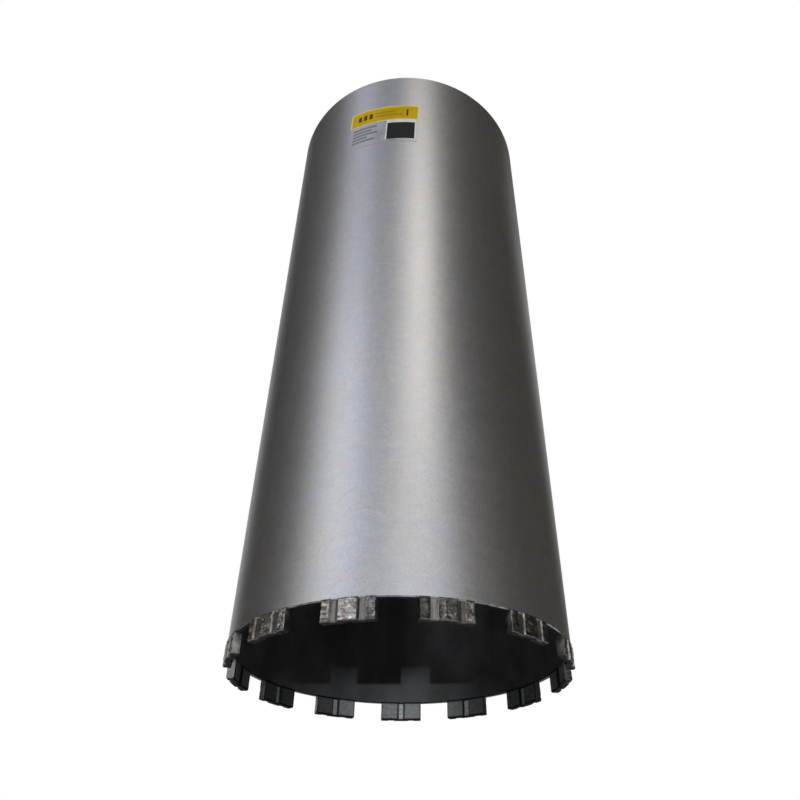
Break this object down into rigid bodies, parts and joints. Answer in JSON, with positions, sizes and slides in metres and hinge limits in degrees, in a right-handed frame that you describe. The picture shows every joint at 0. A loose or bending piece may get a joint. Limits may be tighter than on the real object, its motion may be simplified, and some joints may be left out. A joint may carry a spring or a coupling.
{
  "type": "diamond core bit",
  "caption": "Wet diamond core bit: a steel tube with welded turbo-profile cutting segments at its open end and a closing disc with a threaded drive hub at the other.",
  "frame": {"origin": "on the tube's axis, in the plane of the segments' tips", "axes": "+Z along the axis from the cutting end to the hub; the label looks towards -Y, a little to the -X side"},
  "size_m": [0.1834, 0.1831, 0.482],
  "materials": {
    "tube_steel": "satin, finely brushed round the tube",
    "plate_steel": "turned and blasted",
    "hub_steel": "turned",
    "weld_metal": "as welded",
    "segment_matrix": "sintered metal with diamond grit, ground outside",
    "label_foil": "printed foil"
  },
  "bodies": {
    "root": {"barrel": "tube_steel", "back_plate": "plate_steel", "hub": "hub_steel", "plate_weld": "weld_metal", "hub_weld": "weld_metal", "label": "label_foil", "segment_01": "segment_matrix", "segment_02": "segment_matrix", "segment_03": "segment_matrix", "segment_04": "segment_matrix", "segment_05": "segment_matrix", "segment_06": "segment_matrix", "segment_07": "segment_matrix", "segment_08": "segment_matrix", "segment_09": "segment_matrix", "segment_10": "segment_matrix", "segment_11": "segment_matrix", "segment_12": "segment_matrix", "segment_13": "segment_matrix"}
  },
  "joints": []
}
